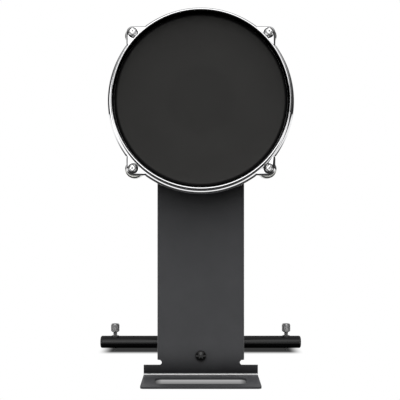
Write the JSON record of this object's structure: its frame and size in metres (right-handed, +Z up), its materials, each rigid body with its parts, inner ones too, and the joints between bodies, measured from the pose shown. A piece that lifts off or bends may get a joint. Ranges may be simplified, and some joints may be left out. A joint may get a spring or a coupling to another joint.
{
  "type": "electronic bass drum practice pad",
  "caption": "Mesh-head electronic bass drum practice pad on a bent steel tower with a slotted base plate for a pedal and a rear crossbar with screw spurs.",
  "frame": {"origin": "on the floor, under the middle of the pad's bounding box", "axes": "+Z up, -Y towards the player, the way the mesh faces, +X to the right in the front view"},
  "size_m": [0.297, 0.251, 0.4555],
  "materials": {
    "hoop_chrome": "polished",
    "lug_chrome": "polished",
    "rod_chrome": "polished",
    "mesh": "woven",
    "ring": "satin",
    "shell_black": "satin",
    "foam": "open cell",
    "zinc": "zinc plated",
    "insert": "machined",
    "ceramic": "matte",
    "white_pad": "matte",
    "jack_black": "satin",
    "lead": "matte",
    "spacer": "matte",
    "tower_paint": "satin powder coat",
    "bar_paint": "gloss",
    "black_screw": "black oxide",
    "cap_plastic": "gloss",
    "knob_nickel": "knurled nickel"
  },
  "bodies": {
    "root": {"hoop": "hoop_chrome", "mesh_head": "mesh", "head_ring": "ring", "shell": "shell_black", "back_plate": "shell_black", "plate_screws": "zinc", "lug_inserts": "insert", "lug_screws": "zinc", "foam_disc": "foam", "piezo_crystal": "ceramic", "piezo_disc": "insert", "piezo_pad": "white_pad", "sensor_plate": "zinc", "sensor_posts": "insert", "sensor_screws": "zinc", "signal_leads": "lead", "jack_body": "jack_black", "jack_washer": "zinc", "jack_nut": "zinc", "jack_terminals": "insert", "mount_spacers": "spacer", "mount_bolts": "zinc", "mount_washers": "zinc", "mount_inserts": "zinc", "tower": "tower_paint", "leg_screw": "black_screw", "leg_plate": "bar_paint", "leg_tube": "bar_paint", "crossbar": "bar_paint", "end_cap_left": "cap_plastic", "end_cap_right": "cap_plastic", "spur_inserts": "black_screw", "lug_1": "lug_chrome", "lug_2": "lug_chrome", "lug_3": "lug_chrome", "lug_4": "lug_chrome"},
    "washer_1": {"rod_washer_1": "black_screw"},
    "rod_1": {"tension_rod_1": "rod_chrome"},
    "washer_2": {"rod_washer_2": "black_screw"},
    "rod_2": {"tension_rod_2": "rod_chrome"},
    "washer_3": {"rod_washer_3": "black_screw"},
    "rod_3": {"tension_rod_3": "rod_chrome"},
    "washer_4": {"rod_washer_4": "black_screw"},
    "rod_4": {"tension_rod_4": "rod_chrome"},
    "pin_left": {"spur_pin_left": "zinc"},
    "knob_left": {"spur_knob_left": "knob_nickel"},
    "pin_right": {"spur_pin_right": "zinc"},
    "knob_right": {"spur_knob_right": "knob_nickel"}
  },
  "joints": [
    {"name": "rod_1_travel", "type": "slide", "parent": "root", "child": "washer_1", "axis": [0, -1, 0], "range_m": [0, 0.0103]},
    {"name": "rod_1_turn", "type": "hinge", "parent": "washer_1", "child": "rod_1", "pos_m": [0.08132, 0, 0.42482], "axis": [0, -1, 0], "range_deg": [0, 3510]},
    {"name": "rod_2_travel", "type": "slide", "parent": "root", "child": "washer_2", "axis": [0, -1, 0], "range_m": [0, 0.0103]},
    {"name": "rod_2_turn", "type": "hinge", "parent": "washer_2", "child": "rod_2", "pos_m": [-0.08132, 0, 0.42482], "axis": [0, -1, 0], "range_deg": [0, 3510]},
    {"name": "rod_3_travel", "type": "slide", "parent": "root", "child": "washer_3", "axis": [0, -1, 0], "range_m": [0, 0.0103]},
    {"name": "rod_3_turn", "type": "hinge", "parent": "washer_3", "child": "rod_3", "pos_m": [-0.08132, 0, 0.26218], "axis": [0, -1, 0], "range_deg": [0, 3510]},
    {"name": "rod_4_travel", "type": "slide", "parent": "root", "child": "washer_4", "axis": [0, -1, 0], "range_m": [0, 0.0103]},
    {"name": "rod_4_turn", "type": "hinge", "parent": "washer_4", "child": "rod_4", "pos_m": [0.08132, 0, 0.26218], "axis": [0, -1, 0], "range_deg": [0, 3510]},
    {"name": "spur_left_travel", "type": "slide", "parent": "root", "child": "pin_left", "axis": [0, 0, 1], "range_m": [-0.005, 0.00625]},
    {"name": "spur_left_turn", "type": "hinge", "parent": "pin_left", "child": "knob_left", "pos_m": [-0.127, 0.1165, 0.03], "axis": [0, 0, 1], "range_deg": [-1801, 2251]},
    {"name": "spur_right_travel", "type": "slide", "parent": "root", "child": "pin_right", "axis": [0, 0, 1], "range_m": [-0.005, 0.00625]},
    {"name": "spur_right_turn", "type": "hinge", "parent": "pin_right", "child": "knob_right", "pos_m": [0.127, 0.1165, 0.03], "axis": [0, 0, 1], "range_deg": [-1801, 2251]}
  ],
  "couplings": [
    {"joint": "rod_1_turn", "follows": "rod_1_travel", "rad_per_m": 5936.9},
    {"joint": "rod_2_turn", "follows": "rod_2_travel", "rad_per_m": 5936.9},
    {"joint": "rod_3_turn", "follows": "rod_3_travel", "rad_per_m": 5936.9},
    {"joint": "rod_4_turn", "follows": "rod_4_travel", "rad_per_m": 5936.9},
    {"joint": "spur_left_turn", "follows": "spur_left_travel", "rad_per_m": 6283.2},
    {"joint": "spur_right_turn", "follows": "spur_right_travel", "rad_per_m": 6283.2}
  ]
}
